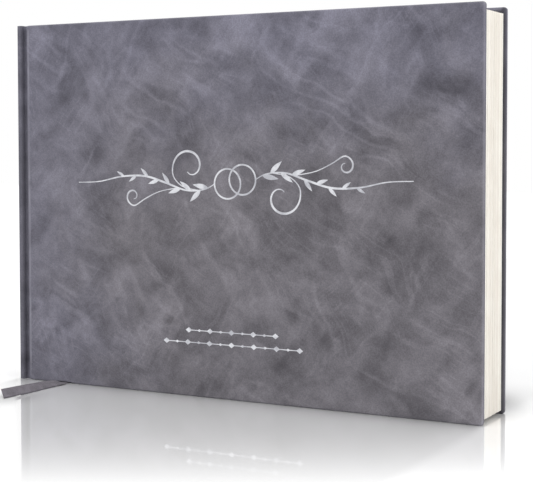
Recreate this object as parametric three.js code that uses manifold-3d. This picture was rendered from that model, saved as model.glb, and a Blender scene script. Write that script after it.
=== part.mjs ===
// A landscape wedding guest book, case bound in suede-like cloth, standing on its tail edge.
// Millimetres, +Z up. The spine is at -X, the fore edge at +X, and the front cover faces -Y.
// The origin is the middle of the closed book's footprint, on the surface that it stands on.
import * as THREE from "three";
import { mergeVertices } from "three/addons/utils/BufferGeometryUtils.js";
import Module from "manifold-3d";

const wasm = await Module();
wasm.setup();

// The closed book.
const WIDTH = 298;
const THICKNESS = 38;
const HEIGHT = 216;
const SPINE_X = -WIDTH / 2;
const FORE_X = WIDTH / 2;

// The case: boards wrapped in cloth.
const CLOTH = 0.7;
const BOARD = 2.5;
const FIT = 0.05; // glue line between flat layers
const SLAB = 2 * CLOTH + BOARD + 2 * FIT; // a wrapped cover board
const TURN_IN = 15; // cloth folded over onto the inside of a board
const EDGE_ROUND = 1.1;
const SLAB_Y = THICKNESS / 2 - SLAB / 2; // mid-plane of a cover
const COVER_X = SPINE_X + 6.3; // near edge of a cover board, past the joint groove
const MITRE = { width: 0.4, depth: 0.35, from: 1, to: TURN_IN + 0.7 }; // between two turn-ins

// The spine panel and its joint grooves. Each cover turns about an upright line at its own
// mid-plane, 3 mm in from the spine's outer face.
const SPINE_BOARD = 2.4;
const SPINE_WALL = 2 * CLOTH + SPINE_BOARD + 2 * FIT;
const SPINE_ROUND = 1.5;
const GROOVE_END_X = SPINE_X + 6.7;
const GROOVE_FLOOR = THICKNESS / 2 - SLAB - 0.1; // outer face of the cloth in the groove

// The pasted sheets inside the covers.
const PASTEDOWN = { sheet: 0.3, spineGap: 1.4, foreMargin: 3, endMargin: 3.2 };

// The text block, trimmed smaller than the covers.
const TAIL_Z = 2;
const HEAD_Z = 212.5;
const LEAF_FORE_X = FORE_X - 1.3;
const BLOCK_HALF = 14;
const RIBBON_GAP = 0.45; // half the space that the bookmark takes between the middle sections
const SECTIONS = 12;
const HALF_SECTIONS = SECTIONS / 2;
const SECTION_PITCH = (BLOCK_HALF - RIBBON_GAP) / HALF_SECTIONS;
const SECTION_HALF = 1.1;
const GUTTER_HALF = 0.98; // the folds are pressed thinner than the leaves
const GUTTER_TAPER = 20;
const FLYLEAF = { sheet: 0.25, outer: BLOCK_HALF + 0.35, pivotX: SPINE_X + 8.6, dropped: 0.6 };
const PIVOT_STEP = 1.1; // each deeper section bends this much further from the spine
const MIDDLE_X = SPINE_X + 14.6;
const FOLD_CLEARANCE = 1.3;

// The back of the text block, from the hollow inwards.
const LINING = { x: SPINE_X + 4.9, sheet: 0.2, half: 13.8, ends: 4 };
const MULL = { x: SPINE_X + 5.15, sheet: 0.25, legEnd: SPINE_X + 7.8, half: 14.1, ends: 17 };
const TAPE = { x: SPINE_X + 5.45, sheet: 0.3, width: 12, half: 13.7, levels: [32, 81, 130, 179] };
const FOLDS_X = SPINE_X + 5.8;
const FOLDS_HALF = 13.75;
const HEADBAND = { radius: 0.9, rollX: SPINE_X + 7, half: 13.2, tongue: 9, bridge: 0.4 };

// The foil on the front cover, drawn in x and z: stroke widths are half widths.
const FOIL = 0.1;
const FOIL_DEPTH = 0.14; // how deep the foil is stamped into the cloth
const STAMP_MARGIN = 0.3;
const FLOURISH = { x: 4, z: 123, reach: 107, fine: 0.26, bold: 0.6 };
const RINGS = { radius: 8.4, apart: 9.6, lift: 1.2, half: 0.5 };
const SPRIG = { leaves: 9, first: 0.1, last: 0.7, length: 10.5, width: 1.5, spread: 0.6 };
const RULES = [
  { name: "foil_rule_upper", x: 1.5, z: 38, half: 28, beads: 9 },
  { name: "foil_rule_lower", x: 1.5, z: 31, half: 43, beads: 13 },
];
const BEAD = { long: 2.1, short: 1.35, line: 0.25 };

// The ribbon bookmark: its middle line, which way its width runs, and its width.
const RIBBON = { width: 8, sheet: 0.3, gathered: 2.6 };
const RIBBON_RELIEF = { x0: -122.2, x1: -109.8, z: 0.55 };

const COLOURS = {
  cloth: 0x716f78,
  board: 0x9a9186,
  paper: 0xeae7dd,
  endpaper: 0xefece4,
  foil: 0xe4e5ea,
  ribbon: 0x6d6a70,
  lining: 0xc9b491,
  mull: 0xe8e4d8,
  tape: 0xddd6c4,
  glue: 0xe2dcc9,
  headband: 0xd9d9dd,
};

const book = new THREE.Group();

function addPiece(name, geometry, colour, roughness, metalness = 0) {
  const material = new THREE.MeshStandardMaterial({ color: colour, roughness, metalness });
  const mesh = new THREE.Mesh(geometry, material);
  mesh.name = name;
  book.add(mesh);
}

// Joins and cuts.
function solid(geometry) {
  const bare = geometry.index ? geometry.toNonIndexed() : geometry.clone();
  bare.deleteAttribute("normal");
  bare.deleteAttribute("uv");
  const merged = mergeVertices(bare, 1e-4);
  return new wasm.Manifold(
    new wasm.Mesh({
      numProp: 3,
      vertProperties: merged.attributes.position.array,
      triVerts: new Uint32Array(merged.index.array),
    }),
  );
}

function geometryOf(shape) {
  const { vertProperties, triVerts } = shape.getMesh();
  const geometry = new THREE.BufferGeometry();
  geometry.setAttribute("position", new THREE.BufferAttribute(vertProperties, 3));
  geometry.setIndex(new THREE.BufferAttribute(triVerts, 1));
  geometry.computeVertexNormals();
  return geometry;
}

const joined = (shapes) => shapes.reduce((all, next) => all.add(next));

// A box between two values on each axis, given in either order.
function box([xa, xb], [ya, yb], [za, zb]) {
  const geometry = new THREE.BoxGeometry(Math.abs(xb - xa), Math.abs(yb - ya), Math.abs(zb - za));
  return geometry.translate((xa + xb) / 2, (ya + yb) / 2, (za + zb) / 2);
}

// An outline in x and y, carried up from one height to another.
function upright(outline, from, to) {
  const shape = outline instanceof THREE.Shape ? outline : new THREE.Shape(outline);
  const options = { depth: to - from, bevelEnabled: false, curveSegments: 6 };
  return new THREE.ExtrudeGeometry(shape, options).translate(0, 0, from);
}

function roundedRectangle([xa, xb], [ya, yb], leftRound, rightRound) {
  const shape = new THREE.Shape();
  shape.moveTo(xa + leftRound, ya);
  shape.lineTo(xb - rightRound, ya);
  if (rightRound) shape.absarc(xb - rightRound, ya + rightRound, rightRound, -Math.PI / 2, 0);
  shape.lineTo(xb, yb - rightRound);
  if (rightRound) shape.absarc(xb - rightRound, yb - rightRound, rightRound, 0, Math.PI / 2);
  shape.lineTo(xa + leftRound, yb);
  if (leftRound) shape.absarc(xa + leftRound, yb - leftRound, leftRound, Math.PI / 2, Math.PI);
  shape.lineTo(xa, ya + leftRound);
  if (leftRound) shape.absarc(xa + leftRound, ya + leftRound, leftRound, Math.PI, 1.5 * Math.PI);
  return shape;
}

// A stroke: a smooth curve through points in x and z, with a half width that swells along it.
function stroke(points, halfWidth, samples, grow) {
  const curve = new THREE.SplineCurve(points);
  const left = [];
  const right = [];
  for (let i = 0; i <= samples; i++) {
    const t = i / samples;
    const point = curve.getPoint(t);
    const across = curve.getTangent(t).rotateAround(new THREE.Vector2(), Math.PI / 2);
    const half = halfWidth(t) + grow;
    left.push(point.clone().addScaledVector(across, half));
    right.unshift(point.clone().addScaledVector(across, -half));
  }
  return [...left, ...right];
}

const swelling = (fine, bold) => (t) => fine + (bold - fine) * Math.sin(Math.PI * t) ** 2;

// A slender pointed leaf, from its foot along an angle.
function leafOutline(foot, angle, length, width, grow) {
  const along = new THREE.Vector2(Math.cos(angle), Math.sin(angle));
  const across = new THREE.Vector2(-along.y, along.x);
  const steps = 7;
  const upper = [];
  const lower = [];
  for (let i = 0; i <= steps; i++) {
    const t = i / steps;
    const bow = (width + grow) * Math.sin(Math.PI * t ** 0.8);
    const middle = foot.clone().addScaledVector(along, t * (length + 2 * grow) - grow);
    upper.push(middle.clone().addScaledVector(across, bow));
    if (i > 0 && i < steps) lower.unshift(middle.addScaledVector(across, -bow));
  }
  return [...upper, ...lower];
}

function ringOutline(x, z, radius, half) {
  const shape = new THREE.Shape();
  shape.absarc(x, z, radius + half, 0, 2 * Math.PI);
  const hole = new THREE.Path();
  hole.absarc(x, z, radius - half, 0, 2 * Math.PI, true);
  shape.holes.push(hole);
  return shape;
}

// Points that wind inwards round a centre, from one radius and angle in degrees to another.
function spiral([cx, cz], [fromRadius, toRadius], [fromAngle, toAngle], steps) {
  return Array.from({ length: steps + 1 }, (_, i) => {
    const radius = THREE.MathUtils.lerp(fromRadius, toRadius, i / steps);
    const angle = THREE.MathUtils.degToRad(THREE.MathUtils.lerp(fromAngle, toAngle, i / steps));
    return [cx + radius * Math.cos(angle), cz + radius * Math.sin(angle)];
  });
}

// One side's strokes, drawn outwards from the middle: a long stem, a small curl and a large one.
const STEM = [[12.9, 1.2], [20, 4.6], [32, 5.2], [46, 1], [60, -2.6], [76, -2.2], [92, 0.9]];
const STROKES = [
  { points: [...STEM, [FLOURISH.reach, 1.6]], bold: 1, samples: 48 },
  {
    points: [[38, 4], [50, 6.2], [60, 10.6], ...spiral([68, 9.2], [5.4, 1.5], [105, -260], 9)],
    bold: 0.85,
    samples: 44,
  },
  {
    points: [[24, 5.1], [34, 3.2], ...spiral([29.5, -8], [12.2, 3.2], [28, -300], 10)],
    bold: 1.1,
    samples: 52,
  },
];

// Two linked rings in the middle, and on each side a leafy stem with two curls, turned half round.
function flourishOutlines(grow) {
  const { x, z, fine, bold } = FLOURISH;
  const outlines = [];
  for (const s of [-1, 1]) {
    const place = (points) => points.map(([a, b]) => new THREE.Vector2(x + s * a, z + s * b));
    const ringX = x + (s * RINGS.apart) / 2;
    outlines.push(ringOutline(ringX, z + s * RINGS.lift, RINGS.radius, RINGS.half + grow));
    for (const { points, bold: share, samples } of STROKES) {
      outlines.push(stroke(place(points), swelling(fine, bold * share), samples, grow));
    }
    const stem = new THREE.SplineCurve(place(STROKES[0].points));
    for (let i = 0; i < SPRIG.leaves; i++) {
      const t = THREE.MathUtils.lerp(SPRIG.first, SPRIG.last, i / (SPRIG.leaves - 1));
      const angle = stem.getTangent(t).angle() + (i % 2 ? SPRIG.spread : -SPRIG.spread);
      const size = 1 - 0.5 * (i / SPRIG.leaves);
      const [length, width] = [SPRIG.length * size, SPRIG.width * size];
      outlines.push(leafOutline(stem.getPoint(t), angle, length, width, grow));
    }
  }
  return outlines;
}

// A thin foil solid from an outline in x and z, standing in the front cover's outer face.
function foilSolid(outline, thickness, outerY) {
  const shape = outline instanceof THREE.Shape ? outline : new THREE.Shape(outline);
  const options = { depth: thickness, bevelEnabled: false, curveSegments: 24 };
  const geometry = new THREE.ExtrudeGeometry(shape, options);
  return solid(geometry.rotateX(Math.PI / 2).translate(0, outerY + thickness, 0));
}

// A fine line with pointed beads along it, long and short in turn.
function ruleOutlines({ x, z, half, beads }, grow) {
  const line = BEAD.line + grow;
  const bar = [
    [x - half, z - line],
    [x + half, z - line],
    [x + half, z + line],
    [x - half, z + line],
  ].map(([a, b]) => new THREE.Vector2(a, b));
  const outlines = [bar];
  for (let i = 0; i < beads; i++) {
    const middle = x - half + (2 * half * i) / (beads - 1);
    const long = (i % 2 ? BEAD.short : BEAD.long) + grow;
    const tall = (i % 2 ? BEAD.short * 0.6 : BEAD.long * 0.75) + grow;
    outlines.push(
      [0, 1, 2, 3].map((k) => {
        const angle = (k * Math.PI) / 2;
        return new THREE.Vector2(middle + long * Math.cos(angle), z + tall * Math.sin(angle));
      }),
    );
  }
  return outlines;
}

const FRONT_Y = -THICKNESS / 2;
const stampOf = (outlines) =>
  joined(outlines.map((outline) => foilSolid(outline, FOIL_DEPTH + 1, FRONT_Y - 1)));
const foilOf = (outlines) =>
  joined(outlines.map((outline) => foilSolid(outline, FOIL, FRONT_Y + 0.01)));

// A cover: its cloth is open at the joint, wraps the board on three sides and turns in round it.
function coverCloth(side) {
  const middle = side * SLAB_Y;
  const faces = [middle - SLAB / 2, middle + SLAB / 2];
  const inner = middle - (side * SLAB) / 2;
  const outline = roundedRectangle([COVER_X, FORE_X], faces, 0, EDGE_ROUND);
  const cavityHalf = BOARD / 2 + FIT;
  const cavity = box(
    [COVER_X - 1, FORE_X - CLOTH],
    [middle - cavityHalf, middle + cavityHalf],
    [CLOTH, HEIGHT - CLOTH],
  );
  const window = box(
    [COVER_X - 1, FORE_X - TURN_IN],
    [middle, inner - side],
    [TURN_IN, HEIGHT - TURN_IN],
  );
  let cloth = solid(upright(outline, 0, HEIGHT)).subtract(solid(cavity)).subtract(solid(window));
  for (const [corner, turn] of [
    [HEIGHT, 1],
    [0, -1],
  ]) {
    const reach = (MITRE.from + MITRE.to) / 2;
    const diagonal = Math.SQRT2 * (MITRE.to - MITRE.from);
    const mitre = new THREE.BoxGeometry(diagonal, 2 * MITRE.depth, MITRE.width);
    mitre.rotateY(-turn * (Math.PI / 4)).translate(FORE_X - reach, inner, corner - turn * reach);
    cloth = cloth.subtract(solid(mitre));
  }
  return cloth;
}

function coverBoard(side) {
  const half = BOARD / 2;
  const middle = side * SLAB_Y;
  const inset = CLOTH + FIT;
  return box(
    [COVER_X + FIT, FORE_X - inset],
    [middle - half, middle + half],
    [inset, HEIGHT - inset],
  );
}

// A pasted sheet lies over the turn-ins and sinks onto the board in the window between them.
function pastedown(side) {
  const { sheet, spineGap, foreMargin, endMargin } = PASTEDOWN;
  const turnInFace = side * (THICKNESS / 2 - SLAB) - side * FIT;
  const inner = turnInFace - side * sheet;
  const sunk = side * (SLAB_Y - BOARD / 2) - side * FIT;
  const nearX = COVER_X + spineGap;
  const over = box([nearX, FORE_X - foreMargin], [turnInFace, inner], [endMargin, HEIGHT - endMargin]);
  const sides = (startX, inset) => [
    [startX, FORE_X - TURN_IN - inset],
    [TURN_IN + inset, HEIGHT - TURN_IN - inset],
  ];
  const [wellX, wellZ] = sides(nearX + FIT, FIT);
  const [hollowX, hollowZ] = sides(nearX - 1, FIT + sheet);
  const well = box(wellX, [sunk, (turnInFace + inner) / 2], wellZ);
  const hollow = box(hollowX, [sunk - side * sheet, inner - side], hollowZ);
  return solid(over).add(solid(well)).subtract(solid(hollow));
}

for (const [word, side] of [
  ["front", -1],
  ["back", 1],
]) {
  let cloth = coverCloth(side);
  if (side < 0) {
    const { x0, x1, z } = RIBBON_RELIEF;
    cloth = cloth.subtract(solid(box([x0, x1], [FRONT_Y - 1, FRONT_Y + SLAB + 1], [-1, z])));
    const drawings = [flourishOutlines(STAMP_MARGIN), ...RULES.map((r) => ruleOutlines(r, STAMP_MARGIN))];
    for (const drawing of drawings) cloth = cloth.subtract(stampOf(drawing));
  }
  addPiece(`${word}_cover_cloth`, geometryOf(cloth), COLOURS.cloth, 0.9);
  addPiece(`${word}_board`, coverBoard(side), COLOURS.board, 0.95);
  addPiece(`${word}_pastedown`, geometryOf(pastedown(side)), COLOURS.endpaper, 0.85);
}

addPiece("foil_flourish", geometryOf(foilOf(flourishOutlines(0))), COLOURS.foil, 0.3, 0.9);
for (const rule of RULES) {
  addPiece(rule.name, geometryOf(foilOf(ruleOutlines(rule, 0))), COLOURS.foil, 0.3, 0.9);
}

// The spine cloth wraps the spine board, then runs down into each joint groove.
function spineCloth() {
  const half = THICKNESS / 2;
  const inside = SPINE_X + SPINE_WALL - CLOTH;
  const body = upright(
    roundedRectangle([SPINE_X, SPINE_X + SPINE_WALL], [-half, half], SPINE_ROUND, 0),
    0,
    HEIGHT,
  );
  const cavity = box([SPINE_X + CLOTH, inside], [-half + CLOTH, half - CLOTH], [CLOTH, HEIGHT - CLOTH]);
  const windowHalf = GROOVE_FLOOR - CLOTH - FIT;
  const window = box(
    [inside - 1, inside + CLOTH + 1],
    [-windowHalf, windowHalf],
    [TURN_IN, HEIGHT - TURN_IN],
  );
  let cloth = solid(body).subtract(solid(cavity)).subtract(solid(window));
  for (const side of [-1, 1]) {
    const floor = box(
      [inside + FIT, GROOVE_END_X],
      [side * GROOVE_FLOOR, side * (GROOVE_FLOOR - CLOTH)],
      [0, HEIGHT],
    );
    cloth = cloth.add(solid(floor));
  }
  return cloth;
}

const spineInset = CLOTH + FIT;
addPiece("spine_cloth", geometryOf(spineCloth()), COLOURS.cloth, 0.9);
addPiece(
  "spine_board",
  box(
    [SPINE_X + spineInset, SPINE_X + spineInset + SPINE_BOARD],
    [-THICKNESS / 2 + spineInset, THICKNESS / 2 - spineInset],
    [spineInset, HEIGHT - spineInset],
  ),
  COLOURS.board,
  0.95,
);

// Lining paper, mull and sewing tapes on the back of the text block.
addPiece(
  "spine_lining_paper",
  box(
    [LINING.x, LINING.x + LINING.sheet],
    [-LINING.half, LINING.half],
    [TAIL_Z + LINING.ends, HEAD_Z - LINING.ends],
  ),
  COLOURS.lining,
  0.9,
);

function mull() {
  const heights = [TAIL_Z + MULL.ends, HEAD_Z - MULL.ends];
  const web = box([MULL.x, MULL.x + MULL.sheet], [-MULL.half, MULL.half], heights);
  const legs = [-1, 1].map((side) =>
    box([MULL.x, MULL.legEnd], [side * MULL.half, side * (MULL.half - MULL.sheet)], heights),
  );
  return joined([web, ...legs].map(solid));
}
addPiece("mull_lining", geometryOf(mull()), COLOURS.mull, 0.95);

TAPE.levels.forEach((level, i) => {
  addPiece(
    `sewing_tape_${i + 1}`,
    box([TAPE.x, TAPE.x + TAPE.sheet], [-TAPE.half, TAPE.half], [level, level + TAPE.width]),
    COLOURS.tape,
    0.95,
  );
});

// A headband: a rolled edge on the end of the folds, on a tongue glued behind them.
function headband(end, outward) {
  const { radius, rollX, half, tongue, bridge } = HEADBAND;
  const rollZ = 0.1 + radius;
  const top = rollZ + radius;
  const shape = new THREE.Shape();
  shape.moveTo(TAPE.x, -tongue);
  shape.lineTo(TAPE.x, top);
  const underBridge = Math.PI - Math.asin((radius - bridge) / radius);
  shape.absarc(rollX, rollZ, radius, Math.PI / 2, underBridge, true);
  shape.lineTo(TAPE.x + TAPE.sheet, top - bridge);
  shape.lineTo(TAPE.x + TAPE.sheet, -tongue);
  const outline = shape.getPoints(8).map(({ x, y }) => new THREE.Vector2(x, end + outward * y));
  const options = { depth: 2 * half, bevelEnabled: false };
  const geometry = new THREE.ExtrudeGeometry(new THREE.Shape(outline), options);
  return geometry.rotateX(Math.PI / 2).translate(0, half, 0);
}
addPiece("headband_head", headband(HEAD_Z, 1), COLOURS.headband, 0.8);
addPiece("headband_tail", headband(TAIL_Z, -1), COLOURS.headband, 0.8);

// Sections are counted from the front. Depth runs from 1 at either cover to 6 in the middle.
const depthOf = (section) => Math.min(section, SECTIONS + 1 - section);
const sideOf = (section) => (section <= HALF_SECTIONS ? -1 : 1);
const sectionY = (section) =>
  sideOf(section) * (RIBBON_GAP + SECTION_PITCH * (HALF_SECTIONS - depthOf(section) + 0.5));
const bendX = (depth) => (depth < HALF_SECTIONS ? FLYLEAF.pivotX + PIVOT_STEP * depth : MIDDLE_X);

// The glued folds end in steps, one for each section, just short of where its leaves bend.
function gluedFolds() {
  const steps = [];
  for (let section = 1; section <= SECTIONS; section++) {
    const depth = depthOf(section);
    const end = bendX(depth) - (depth < HALF_SECTIONS ? FOLD_CLEARANCE : FLYLEAF.sheet);
    const y = sectionY(section);
    const edges = [y - SECTION_PITCH / 2, y + SECTION_PITCH / 2];
    if (section === HALF_SECTIONS) edges[1] = 0;
    if (section === HALF_SECTIONS + 1) edges[0] = 0;
    for (const edge of edges) {
      steps.push(new THREE.Vector2(end, THREE.MathUtils.clamp(edge, -FOLDS_HALF, FOLDS_HALF)));
    }
  }
  const outline = [
    new THREE.Vector2(FOLDS_X, FOLDS_HALF),
    new THREE.Vector2(FOLDS_X, -FOLDS_HALF),
    ...steps,
  ];
  return upright(outline, TAIL_Z, HEAD_Z);
}
addPiece("glued_folds", gluedFolds(), COLOURS.glue, 0.9);

function sectionLeaves(section) {
  const x = bendX(depthOf(section));
  const y = sectionY(section);
  const outline = [
    [x, y - GUTTER_HALF],
    [x + GUTTER_TAPER, y - SECTION_HALF],
    [LEAF_FORE_X, y - SECTION_HALF],
    [LEAF_FORE_X, y + SECTION_HALF],
    [x + GUTTER_TAPER, y + SECTION_HALF],
    [x, y + GUTTER_HALF],
  ];
  return upright(outline.map(([a, b]) => new THREE.Vector2(a, b)), TAIL_Z, HEAD_Z);
}
for (let section = 1; section <= SECTIONS; section++) {
  const name = `section_${String(section).padStart(2, "0")}`;
  addPiece(name, sectionLeaves(section), COLOURS.paper, 0.85);
}

for (const [word, side, tail] of [
  ["front", -1, FLYLEAF.dropped],
  ["back", 1, TAIL_Z],
]) {
  const faces = [side * FLYLEAF.outer, side * (FLYLEAF.outer - FLYLEAF.sheet)];
  const leaf = box([FLYLEAF.pivotX, LEAF_FORE_X], faces, [tail, HEAD_Z]);
  addPiece(`${word}_flyleaf`, leaf, COLOURS.endpaper, 0.85);
}

// The ribbon is glued behind the folds, goes over the head of the block, down between the two
// middle sections, out at the tail, under the front cover and forward along the surface.
// Each station: x, y, z, the direction of its width, and its width.
const ALONG_Y = [0, -1, 0];
const ALONG_X = [1, 0, 0];
function tilted(yaw, tilt) {
  const [a, b] = [THREE.MathUtils.degToRad(yaw), THREE.MathUtils.degToRad(tilt)];
  return [Math.cos(a) * Math.cos(b), -Math.sin(a) * Math.cos(b), -Math.sin(b)];
}
const { width: full, gathered } = RIBBON;
const ribbonRoute = [
  [-144.6, 0, 192, ALONG_Y, full],
  [-144.6, 0, 206, ALONG_Y, full],
  [-144.55, 0, 212, ALONG_Y, full * 0.7],
  [-144.3, 0, 214.3, ALONG_Y, gathered],
  [-143.3, 0, 215.05, ALONG_Y, gathered],
  [-141.6, 0, 215.15, ALONG_Y, gathered],
  [-139.2, 0, 215, [0, -0.94, 0.34], gathered],
  [-136.2, 0, 214.4, [0.25, -0.7, 0.67], gathered],
  [-133.6, 0, 213.4, [0.55, -0.3, 0.78], gathered],
  [-131.4, 0, 211.2, [0.8, 0, 0.6], gathered],
  [-129.8, 0, 206, [0.97, 0, 0.24], full * 0.6],
  [-128.6, 0, 196, [1, 0, 0.1], full],
  [-126.4, 0, 168, ALONG_X, full],
  [-123.7, 0, 130, ALONG_X, full],
  [-121.4, 0, 90, ALONG_X, full],
  [-119.6, 0, 50, ALONG_X, full],
  [-118.6, 0, 20, ALONG_X, full],
  [-118.4, 0, 6, ALONG_X, full],
  [-118.4, -0.08, 2, ALONG_X, full],
  [-118.3, -1, 0.8, ALONG_X, full],
  [-118, -4, 0.26, ALONG_X, full],
  [-117.2, -10, 0.2, ALONG_X, full],
  [-115.8, -19, 0.2, ALONG_X, full],
  [-114.7, -24, 1.2, tilted(-7, 13), full],
  [-115, -33, 1.6, tilted(-3, 19), full],
  [-115.3, -42.5, 1.8, tilted(2, 22.5), full],
  [-115.5, -50.5, 1.98, tilted(7.5, 26), full],
  [-116, -61, 2.18, tilted(13, 28.5), full],
  [-117.4, -73.6, 2.3, tilted(18.5, 28.5), full],
];

// A flat strip that follows stations, four corners to each.
function ribbonStrip(stations, sheet) {
  const corners = [];
  stations.forEach(([x, y, z, across, width], i) => {
    const here = new THREE.Vector3(x, y, z);
    const before = new THREE.Vector3(...(stations[i - 1] ?? stations[i]));
    const after = new THREE.Vector3(...(stations[i + 1] ?? stations[i]));
    const along = after.sub(before).normalize();
    const wide = new THREE.Vector3(...across);
    wide.addScaledVector(along, -wide.dot(along)).normalize();
    const thick = new THREE.Vector3().crossVectors(along, wide);
    for (const [a, b] of [[-1, -1], [1, -1], [1, 1], [-1, 1]]) {
      const corner = here.clone().addScaledVector(wide, (a * width) / 2);
      corners.push(corner.addScaledVector(thick, (b * sheet) / 2));
    }
  });
  const faces = [];
  for (let i = 0; i < stations.length - 1; i++) {
    for (let k = 0; k < 4; k++) {
      const [a, b] = [4 * i + k, 4 * i + ((k + 1) % 4)];
      faces.push(a, b, b + 4, a, b + 4, a + 4);
    }
  }
  const last = 4 * (stations.length - 1);
  faces.push(0, 2, 1, 0, 3, 2, last, last + 1, last + 2, last, last + 2, last + 3);
  const geometry = new THREE.BufferGeometry().setFromPoints(corners);
  geometry.setIndex(faces);
  geometry.computeVertexNormals();
  return geometry;
}
addPiece("ribbon_bookmark", ribbonStrip(ribbonRoute, RIBBON.sheet), COLOURS.ribbon, 0.6);

export default book;
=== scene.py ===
import math

import bmesh
import bpy
import numpy as np
from mathutils import Matrix, Vector


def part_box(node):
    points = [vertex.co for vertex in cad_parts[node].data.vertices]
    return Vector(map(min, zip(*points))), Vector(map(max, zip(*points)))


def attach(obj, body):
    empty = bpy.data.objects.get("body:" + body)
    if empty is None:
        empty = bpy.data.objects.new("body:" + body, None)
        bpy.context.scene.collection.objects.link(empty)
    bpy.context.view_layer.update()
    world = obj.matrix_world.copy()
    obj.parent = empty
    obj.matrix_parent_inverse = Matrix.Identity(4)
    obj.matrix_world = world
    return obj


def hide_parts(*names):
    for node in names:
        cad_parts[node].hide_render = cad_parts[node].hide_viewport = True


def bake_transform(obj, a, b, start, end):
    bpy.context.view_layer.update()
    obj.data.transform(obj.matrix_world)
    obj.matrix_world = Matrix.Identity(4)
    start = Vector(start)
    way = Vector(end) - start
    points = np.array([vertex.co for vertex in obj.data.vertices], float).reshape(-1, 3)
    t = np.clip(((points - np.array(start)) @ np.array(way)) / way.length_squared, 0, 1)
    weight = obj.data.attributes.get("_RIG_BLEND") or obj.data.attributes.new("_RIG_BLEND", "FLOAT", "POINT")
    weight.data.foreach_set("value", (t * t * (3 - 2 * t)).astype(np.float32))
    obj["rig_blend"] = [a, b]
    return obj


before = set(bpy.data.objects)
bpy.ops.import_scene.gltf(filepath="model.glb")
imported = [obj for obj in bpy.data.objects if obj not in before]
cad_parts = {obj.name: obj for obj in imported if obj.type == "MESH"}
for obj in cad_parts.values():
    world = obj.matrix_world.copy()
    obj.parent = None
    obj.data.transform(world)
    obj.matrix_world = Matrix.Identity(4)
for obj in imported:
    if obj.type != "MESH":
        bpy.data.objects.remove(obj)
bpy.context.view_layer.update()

MM = 0.001


def add_object(name, data):
    obj = bpy.data.objects.new(name, data)
    bpy.context.scene.collection.objects.link(obj)
    return obj


# ---- camera


def make_camera(place, yaw, pitch, roll, focal_widths, shift_y):
    data = bpy.data.cameras.new("studio_camera")
    data.sensor_width = 36.0
    data.lens = focal_widths * data.sensor_width
    data.shift_y = shift_y
    data.clip_start, data.clip_end = 0.01, 50.0
    camera = add_object("studio_camera", data)
    level = math.cos(pitch)
    forward = Vector((-math.sin(yaw) * level, math.cos(yaw) * level, math.sin(pitch)))
    right = Vector((math.cos(yaw), math.sin(yaw), 0.0))
    up = right.cross(forward)
    right, up = (
        right * math.cos(roll) + up * math.sin(roll),
        up * math.cos(roll) - right * math.sin(roll),
    )
    turn = Matrix((right, up, -forward)).transposed().to_4x4()
    camera.matrix_world = Matrix.Translation(place) @ turn
    bpy.context.scene.camera = camera


make_camera(
    place=(0.37138, -0.66271, 0.14474),
    yaw=0.49479,
    pitch=-0.042803,
    roll=-0.0014107,
    focal_widths=2.49234,
    shift_y=-0.077516,
)


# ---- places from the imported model

SPINE_LO, SPINE_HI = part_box("spine_cloth")
COVER_LO, COVER_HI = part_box("front_cover_cloth")
PASTE_LO, PASTE_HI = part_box("front_pastedown")
X0 = SPINE_LO.x
FORE_X = COVER_HI.x
HEIGHT = COVER_HI.z
OUTER_Y = SPINE_HI.y  # half the thickness of the book
INNER_Y = -COVER_HI.y
COVER_X = COVER_LO.x
LEAF_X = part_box("section_01")[1].x
TURN_IN = 15 * MM
CLOTH = 0.62 * MM
JOINT_CLOTH = 0.3 * MM  # the cloth where it bends


# ---- mesh helpers


def smoothstep(value, low, high):
    t = np.clip((np.asarray(value, float) - low) / (high - low), 0.0, 1.0)
    return t * t * (3.0 - 2.0 * t)


def store_rest(mesh):
    """Keeps each point's place at rest, for materials that stay put when the mesh bends."""
    co = np.zeros(len(mesh.vertices) * 3, np.float32)
    mesh.vertices.foreach_get("co", co)
    layer = mesh.attributes.new("rest_place", "FLOAT_VECTOR", "POINT")
    layer.data.foreach_set("vector", co)


def store_value(mesh, name, values):
    layer = mesh.attributes.new(name, "FLOAT", "POINT")
    layer.data.foreach_set("value", np.asarray(values, np.float32))


def sharpen(mesh, degrees):
    """Smooth shading, apart from edges that turn by more than an angle."""
    limit = math.radians(degrees)
    b = bmesh.new()
    b.from_mesh(mesh)
    for edge in b.edges:
        angle = edge.calc_face_angle(None)
        edge.smooth = angle is None or angle < limit
    b.to_mesh(mesh)
    b.free()


def mesh_object(mesh, material, degrees=None):
    """The object of a finished mesh, smooth apart from edges sharper than an angle."""
    mesh.polygons.foreach_set("use_smooth", [True] * len(mesh.polygons))
    mesh.update()
    store_rest(mesh)
    mesh.materials.clear()
    mesh.materials.append(material)
    if degrees:
        sharpen(mesh, degrees)
    return add_object(mesh.name, mesh)


def finish_mesh(name, points, faces, material, degrees=None, values=None, merge=1e-7):
    """A mesh object from points in metres, merged where points meet, with outward faces."""
    mesh = bpy.data.meshes.new(name)
    mesh.from_pydata([tuple(p) for p in points], [], faces)
    for label, numbers in (values or {}).items():
        store_value(mesh, label, numbers)
    b = bmesh.new()
    b.from_mesh(mesh)
    if merge:
        bmesh.ops.remove_doubles(b, verts=b.verts, dist=merge)
        bmesh.ops.dissolve_degenerate(b, edges=b.edges, dist=merge)
    loose = [v for v in b.verts if not v.link_faces]
    bmesh.ops.delete(b, geom=loose, context="VERTS")
    bmesh.ops.recalc_face_normals(b, faces=b.faces)
    b.to_mesh(mesh)
    b.free()
    return mesh_object(mesh, material, degrees)


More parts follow.
